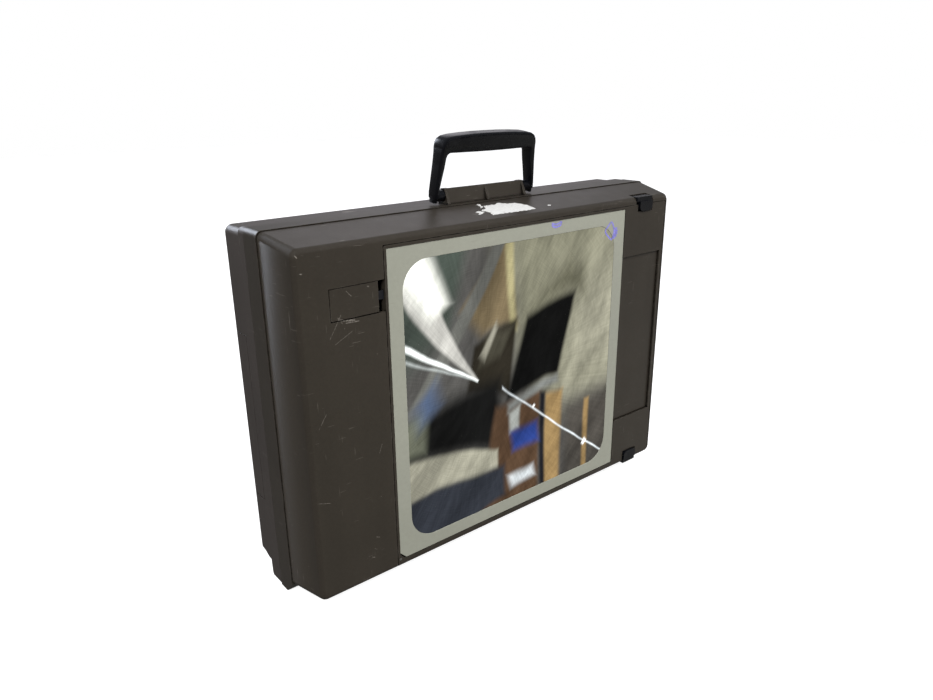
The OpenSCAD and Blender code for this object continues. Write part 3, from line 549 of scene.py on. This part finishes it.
def make_materials():
    brown, brown_worn = (0.0335, 0.0285, 0.0225), (0.25, 0.23, 0.205)
    steel_along = (9, 500, 9)
    return {
        "case_brown": moulded("case_brown", brown, 0.36, brown_worn, marked=True),
        # the rear cover and cord door get a lighter, pinker copy of the case brown: its extra lightness is painted
        # sheen, the window light behind the case caught on their sides
        "cover_brown": moulded("cover_brown", (0.052, 0.0445, 0.0405), 0.40, brown_worn),
        "inner_brown": moulded("inner_brown", (0.030, 0.026, 0.022), 0.50, brown_worn, wear=0.2),
        "ink_plastic": smooth_black("ink_plastic", (0.003, 0.0033, 0.0048), 0.22),
        "rubber_black": rubber("rubber_black", (0.016, 0.016, 0.016)),
        "border_grey": stage_paint("border_grey", (0.325, 0.335, 0.285)),
        "fresnel": ring_mirror("fresnel", (0.86, 0.87, 0.85)),
        "front_mirror": front_mirror("front_mirror", (0.88, 0.90, 0.91)),
        "backing": rubber("backing", (0.02, 0.02, 0.02)),
        "steel": metal("steel", (0.52, 0.53, 0.54), 0.28, steel_along),
        "arm_metal": metal("arm_metal", (0.58, 0.59, 0.60), 0.30, (14, 700, 700), 0.2),
        "arm_black": coated("arm_black", (0.016, 0.016, 0.018), 0.42),
        "core_iron": banded("core_iron", (0.11, 0.11, 0.12), (0.02, 0.018, 0.016), 0.5, (0, 1, 0), 0.0012, 0.8),
        "coil_amber": banded("coil_amber", (0.36, 0.14, 0.045), (0.10, 0.03, 0.01), 0.25, (0, 1, 0), 0.0009),
        "terminal_cream": moulded("terminal_cream", (0.62, 0.57, 0.46), 0.42, (0.35, 0.3, 0.22), wear=0.2),
        "brass": metal("brass", (0.70, 0.52, 0.24), 0.25, (400, 400, 20)),
        "switch_black": smooth_black("switch_black", (0.013, 0.009, 0.008), 0.20),
        "lens_glass": glass("lens_glass", (0.86, 0.93, 0.95), 0.06),
        "filter_glass": glass("filter_glass", (0.62, 0.86, 0.80), 0.08),
        "lamp_glass": glass("lamp_glass", (0.95, 0.95, 0.92), 0.05),
        "ceramic_white": moulded("ceramic_white", (0.74, 0.71, 0.62), 0.22, (0.4, 0.36, 0.3), 0.000008, 0.2),
        "reflector_metal": metal("reflector_metal", (0.80, 0.81, 0.82), 0.08, (60, 60, 60), 0.1),
        "cutout_blue": moulded("cutout_blue", (0.03, 0.06, 0.13), 0.4, (0.3, 0.33, 0.38), wear=0.2),
        "motor_grey": coated("motor_grey", (0.16, 0.17, 0.18), 0.35),
    }


# ---- pieces ----
def finish_piece(mesh, name, node, material, body=None):
    """Makes an object of the mesh that stands for a CAD node."""
    piece = bpy.data.objects.new(name, mesh)
    bpy.context.scene.collection.objects.link(piece)
    mesh.materials.clear()
    mesh.materials.append(material)
    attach(piece, body or NODES[node]["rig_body"])
    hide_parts(node)
    return piece


def soften(piece, width, segments, angle=32):
    """Rounds the sharp edges and shades the rest smooth."""
    bevel = piece.modifiers.new("rounding", "BEVEL")
    bevel.width = width
    bevel.segments = segments
    bevel.limit_method = "ANGLE"
    bevel.angle_limit = math.radians(angle)
    bevel.miter_outer = "MITER_ARC"
    bevel.harden_normals = False
    weighted = piece.modifiers.new("normals", "WEIGHTED_NORMAL")
    weighted.keep_sharp = True
    weighted.weight = 80


def welded(node):
    """A copy of a CAD node's mesh with its triangles joined into faces."""
    bm = bmesh.new()
    bm.from_mesh(NODES[node].data)
    bmesh.ops.remove_doubles(bm, verts=bm.verts, dist=2e-6)
    bmesh.ops.dissolve_limit(bm, angle_limit=math.radians(0.6), verts=bm.verts, edges=bm.edges)
    return bm


def refined(node, width=0.0004, segments=2, material=None):
    """A CAD node with rounded edges and smooth curved faces."""
    bm = welded(node)
    for face in bm.faces:
        face.smooth = True
    mesh = bpy.data.meshes.new(node + "_soft")
    bm.to_mesh(mesh)
    bm.free()
    mesh.set_sharp_from_angle(angle=math.radians(32))
    piece = finish_piece(mesh, node + "_soft", node, material or LOOKS[SLOT_OF[node]])
    if width:
        soften(piece, width, segments)
    return piece


def skin(rings, closed_ends=True):
    """A mesh through a row of rings that all have the same number of points."""
    bm = bmesh.new()
    rows = [[bm.verts.new(point) for point in ring] for ring in rings]
    count = len(rows[0])
    for near, far in zip(rows, rows[1:]):
        for i in range(count):
            j = (i + 1) % count
            bm.faces.new((near[i], near[j], far[j], far[i]))
    if closed_ends:
        bm.faces.new(rows[0][::-1])
        bm.faces.new(rows[-1])
    bmesh.ops.recalc_face_normals(bm, faces=bm.faces)
    return bm


def to_mesh(bm, name, sharp=32):
    for face in bm.faces:
        face.smooth = True
    mesh = bpy.data.meshes.new(name)
    bm.to_mesh(mesh)
    bm.free()
    mesh.set_sharp_from_angle(angle=math.radians(sharp))
    return mesh


def join(bm, other):
    """Adds the geometry of other to bm."""
    spare = bpy.data.meshes.new("spare")
    other.to_mesh(spare)
    other.free()
    bm.from_mesh(spare)
    bpy.data.meshes.remove(spare)


# ---- carrying handle ----
HANDLE_PIVOT = Vector((0.008, 0.0018, 0.366))
LEAN = math.radians(7.5)


def strap_section(width, thick, groove):
    """Half-profile points (in from the outer face, sideways) round one section of the handle:
    a crowned cap along the outside, a groove, and a body with rounded corners."""
    half = thick / 2
    cap = min(2.4, width * 0.42)
    r = min(1.7, (width - cap) * 0.4)
    side = [(0.0, half - 2.6), (0.25, half - 1.4), (0.8, half - 0.55), (cap - 0.45, half - 0.12),
            (cap - 0.12, half - 0.12 - groove), (cap + 0.12, half - 0.12 - groove), (cap + 0.45, half)]
    side += [(width - r, half), (width - 0.3 * r, half - 0.3 * r), (width, half - r)]
    return side + [(inward, -sideways) for inward, sideways in side[::-1]]


# stations along one leg from its foot up to the middle of the grip, in mm from the pivot:
# outer point, inner point, thickness from front to back, depth of a cross groove
HANDLE_STATIONS = [
    ((65.4, -6.3), (62.3, -6.3), 9.0, 0.0), ((65.7, -5.6), (62.1, -5.6), 10.2, 0.0),
    ((65.7, -2.4), (62.1, -2.4), 10.4, 0.0), ((65.7, -1.6), (62.1, -1.6), 13.4, 0.0),
    ((65.6, 4.0), (62.0, 4.0), 14.0, 0.0), ((64.5, 16.0), (59.5, 15.6), 14.0, 0.0),
    ((63.1, 30.0), (56.5, 28.0), 14.2, 0.0), ((62.0, 41.0), (55.3, 37.2), 15.0, 0.0),
    ((61.6, 45.3), (55.0, 38.9), 15.8, 0.0), ((61.5, 46.3), (54.9, 39.2), 16.0, 0.5),
    ((61.4, 47.3), (54.8, 39.5), 16.1, 0.5), ((61.2, 48.3), (54.5, 39.9), 16.3, 0.0),
    ((60.2, 51.8), (53.9, 40.9), 16.7, 0.0), ((58.0, 54.8), (52.6, 41.7), 17.0, 0.0),
    ((54.2, 56.8), (50.6, 42.1), 17.0, 0.0), ((46.0, 58.0), (45.0, 42.0), 17.0, 0.0),
    ((32.0, 58.8), (32.0, 41.8), 17.0, 0.0), ((16.0, 59.3), (16.0, 41.6), 17.0, 0.0),
    ((0.0, 59.4), (0.0, 41.5), 17.0, 0.0),
]


def handle_ring(side, station):
    outer, inner, thick, cross = station
    start = Vector((side * outer[0], 0, outer[1]))
    inward = Vector((side * inner[0], 0, inner[1])) - start
    width = inward.length
    inward.normalize()
    lean = Matrix.Rotation(LEAN, 3, "X")
    ring = []
    for depth, sideways in strap_section(width, thick, 0.45):
        local = start + inward * max(depth, cross) + Vector((0, sideways, 0))
        ring.append(HANDLE_PIVOT + (lean @ local) * MM)
    return ring


def hub(side):
    """The barrel that joins a leg of the handle to its pin."""
    rings = []
    for x, r in ((53.2, 4.9), (53.5, 5.5), (54.2, 5.8), (62.6, 5.8), (63.0, 5.2)):
        ring = []
        for i in range(40):
            a = 2 * math.pi * i / 40
            ring.append(HANDLE_PIVOT + Vector((side * x, r * math.cos(a), r * math.sin(a))) * MM)
        rings.append(ring)
    return skin(rings)


def make_handle():
    """The handle, moulded in one with its barrels: one strap swept over the hand."""
    stations = [handle_ring(-1, station) for station in HANDLE_STATIONS]
    stations += [handle_ring(1, station) for station in HANDLE_STATIONS[-2::-1]]
    bm = skin(stations)
    for side in (-1, 1):
        join(bm, hub(side))
    mesh = to_mesh(bm, "handle_moulded", 40)
    finish_piece(mesh, "handle_moulded", "carry_handle", LOOKS["ink_plastic"])


# ---- torn sticker and marker strokes ----
def on_top(x, y, lift=0.0):
    """A point on the sloping top of the front shell, y mm behind the stage face."""
    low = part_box("latch_button")[0].y / MM - 0.3
    return Vector((x, low + y, 347 + y * 9.5 / 45.5 + lift)) * MM


def torn_patch(name, outline, jag, seed):
    """A flat scrap of paper with torn edges, from a rough outline in mm."""
    points = []
    for k, (near, far) in enumerate(zip(outline, outline[1:] + outline[:1])):
        steps = max(2, int(math.dist(near, far) / 1.3))
        for i in range(steps):
            t = i / steps
            wave = math.sin(seed + 5.1 * k + 7.7 * t * steps) + 0.6 * math.sin(seed * 3 + 2.3 * i * (k + 2))
            across = Vector((far[1] - near[1], near[0] - far[0])).normalized() * jag * wave * 0.5
            points.append((near[0] + (far[0] - near[0]) * t + across.x, near[1] + (far[1] - near[1]) * t + across.y))
    bm = bmesh.new()
    top = [bm.verts.new(on_top(x, y, 0.12)) for x, y in points]
    low = [bm.verts.new(on_top(x, y, 0.0)) for x, y in points]
    bm.faces.new(top)
    bm.faces.new(low[::-1])
    for i in range(len(points)):
        j = (i + 1) % len(points)
        bm.faces.new((top[i], low[i], low[j], top[j]))
    bmesh.ops.triangulate(bm, faces=bm.faces[:2])
    bmesh.ops.recalc_face_normals(bm, faces=bm.faces)
    return to_mesh(bm, name, 20)


def paper():
    p = Paint("torn_paper", (0.66, 0.665, 0.66), 0.75)
    fibres = p.noise(p.stretched(p.where, (260, 900, 300)), 1.0, 4.0, 0.7)
    p.shade(0.12, fibres)
    p.cover(p.step(p.noise(p.where, 210.0, 4.0, 0.7), 0.62, 0.72), (0.30, 0.28, 0.25))
    p.raise_by(fibres, 0.00005)
    return p.done()


def ink_strokes():
    p = Paint("marker_ink", (0.25, 0.24, 0.66), 0.5)
    p.shade(0.2, p.noise(p.where, 300.0, 3.0))
    p.cover(p.step(p.noise(p.where, 650.0, 3.0), 0.62, 0.72), (0.36, 0.37, 0.40))
    p.roughen(p.noise(p.where, 200.0, 2.0), 0.2)
    p.raise_by(p.noise(p.where, 500.0, 2.0), 0.00001)
    return p.done()


def loose_piece(mesh, name, material, body):
    """A piece that has no CAD node of its own and rides a body."""
    piece = bpy.data.objects.new(name, mesh)
    bpy.context.scene.collection.objects.link(piece)
    mesh.materials.append(material)
    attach(piece, body)
    return piece


def make_sticker():
    main = [(-21, 12.2), (10, 12), (25, 11.5), (37.5, 12.4), (36, 24), (28, 33.5), (18, 34), (10, 39.6), (3, 36),
            (-12, 36.3), (-14, 29.5), (-23, 26.5), (-18, 18.5)]
    scraps = [(main, 1.1), ([(-19.5, 31.5), (-14.5, 34), (-12.5, 42), (-17, 41.5), (-15.8, 36.5)], 0.5),
              ([(-34.5, 17), (-28, 18.5), (-23, 22), (-27, 25.4), (-32.4, 24.2), (-29.5, 21)], 0.5),
              ([(57.5, 14.6), (61, 14.4), (62.2, 15.8), (60.6, 17.2), (58, 16.8)], 0.2)]
    material = paper()
    for i, (outline, jag) in enumerate(scraps):
        mesh = torn_patch(f"sticker_scrap_{i + 1}", outline, jag, 1.7 * i + 0.4)
        loose_piece(mesh, f"sticker_scrap_{i + 1}", material, "case")


def ribbon(points, width):
    """A thin flat stroke along points on the stage: on its border or on its mirror."""
    border_y, mirror_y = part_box("stage_border")[0].y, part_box("fresnel_mirror")[0].y
    bm = bmesh.new()
    rows = []
    for i, (x, z) in enumerate(points):
        before, after = points[max(i - 1, 0)], points[min(i + 1, len(points) - 1)]
        along = Vector((after[0] - before[0], after[1] - before[1])).normalized()
        half = width * (0.36 + 0.14 * math.sin(1.9 * i))
        across = Vector((-along.y, along.x)) * half
        off = math.hypot(max(x - 120.4, 0), max(z - 294.7, 0))
        face_y = (mirror_y if off < 27.4 else border_y) - 0.00004 - 0.000002 * len(rows)
        rows.append([bm.verts.new((MM * (x + k * across.x), face_y, MM * (z + k * across.y))) for k in (1, -1)])
    for near, far in zip(rows, rows[1:]):
        bm.faces.new((near[0], near[1], far[1], far[0]))
    bmesh.ops.recalc_face_normals(bm, faces=bm.faces)
    return bm


def smooth_line(corners, closed):
    """A rounded line through corners, as points about half a millimetre apart."""
    points = []
    count = len(corners)
    for i in range(count if closed else count - 1):
        near = [corners[(i + k) % count] if closed else corners[min(max(i + k, 0), count - 1)] for k in (-1, 0, 1, 2)]
        for step in range(8):
            t = step / 8
            points.append(tuple(0.5 * (2 * b + (c - a) * t + (2 * a - 5 * b + 4 * c - d) * t * t
                                       + (3 * b - a - 3 * c + d) * t ** 3) for a, b, c, d in zip(*near)))
    return points + [points[0] if closed else corners[-1]]


def make_marker():
    petal = [(141.9, 325), (136.4, 321.4), (132.8, 317.4), (133.6, 313.8), (137.2, 310.4), (143.2, 305.9),
             (145.6, 311), (146.2, 317.4)]
    scribble = [(146, 317), (151, 317.6), (146.6, 314.6), (152.3, 315), (146, 312.2), (151.8, 312.2), (145.4, 309.8),
                (150.4, 309.4), (144.6, 307.6), (148, 307.2)]
    small = [(49.5, 334.5), (50.6, 331.4), (56, 330.2), (61.6, 331.6), (62.6, 334.8), (57, 333.2), (51.5, 333.6)]
    bm = bmesh.new()
    for points in (smooth_line(petal, True), smooth_line(scribble, False), smooth_line(small, True)):
        join(bm, ribbon(points, 2.6))
    mesh = to_mesh(bm, "marker_strokes")
    loose_piece(mesh, "marker_strokes", ink_strokes(), "door")


LOOKS = make_materials()
make_camera()
make_world()
make_lights()
make_floor()
bpy.context.scene.view_settings.view_transform = "Standard"

def make_spring():
    """The spring of the latch, refined from its CAD node without rounded edges, on a mesh of its own."""
    spring = refined("latch_spring", 0)
    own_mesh(spring)


MADE = {"carry_handle": make_handle, "latch_spring": make_spring}
# the door keeper, a steel plate, gets a near-black plastic finish: painted shade of the finger notch it sits in
LOOK_OF = {"door_keeper": smooth_black("keeper_painted_shade", (0.016, 0.017, 0.021), 0.3),
           "rear_cover": LOOKS["cover_brown"], "cord_door": LOOKS["cover_brown"]}
SOFT = {"stage_border": (0.15, 1), "fresnel_mirror": (0.1, 1), "mirror_backing": (0.1, 1),
        "rear_cover": (0.8, 3), "mid_frame": (0.8, 3), "front_shell": (0.5, 2), "stage_door": (0.5, 2),
        "latch_button": (0.5, 2), "hinge_clips": (0.7, 3), "foot_pads": (0.6, 2), "back_feet": (0.6, 2)}
for node in NODES:
    if node in MADE:
        MADE[node]()
    else:
        width, segments = SOFT.get(node, (0.35, 2))
        refined(node, width * MM, segments, LOOK_OF.get(node))
make_sticker()
make_marker()
